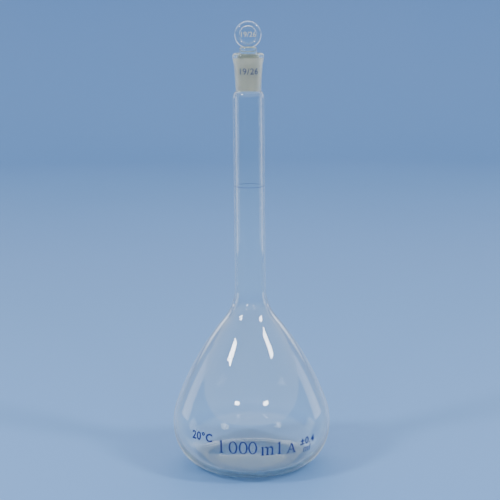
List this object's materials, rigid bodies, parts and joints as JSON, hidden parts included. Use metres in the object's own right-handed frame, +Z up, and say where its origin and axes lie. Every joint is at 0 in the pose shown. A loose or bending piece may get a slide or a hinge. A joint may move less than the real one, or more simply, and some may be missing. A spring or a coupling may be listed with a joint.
{
  "type": "volumetric flask",
  "caption": "Pear-shaped one-litre volumetric flask with a long narrow neck, a graduation ring, a conical ground socket and a loose flat-headed ground stopper.",
  "frame": {"origin": "centre of the foot, on the plane the flask stands on", "axes": "+Z up along the flask's axis, through the neck and the stopper; -Y is the printed front, and the stopper's flat head faces it"},
  "size_m": [0.13, 0.13, 0.3643],
  "materials": {
    "clear_glass": "fire-polished, clear",
    "ground_glass": "finely ground bore, fire-polished outside",
    "stopper_glass": "clear head, finely ground cone",
    "blue_enamel": "fired enamel, satin"
  },
  "bodies": {
    "flask": {"bulb": "clear_glass", "neck_tube": "clear_glass", "ground_socket": "ground_glass", "graduation_ring": "blue_enamel"},
    "stopper": {"stopper": "stopper_glass"}
  },
  "joints": [
    {"name": "stopper_lift", "type": "slide", "parent": "flask", "child": "stopper", "axis": [0, 0, 1], "range_m": [0, 0.06]}
  ]
}
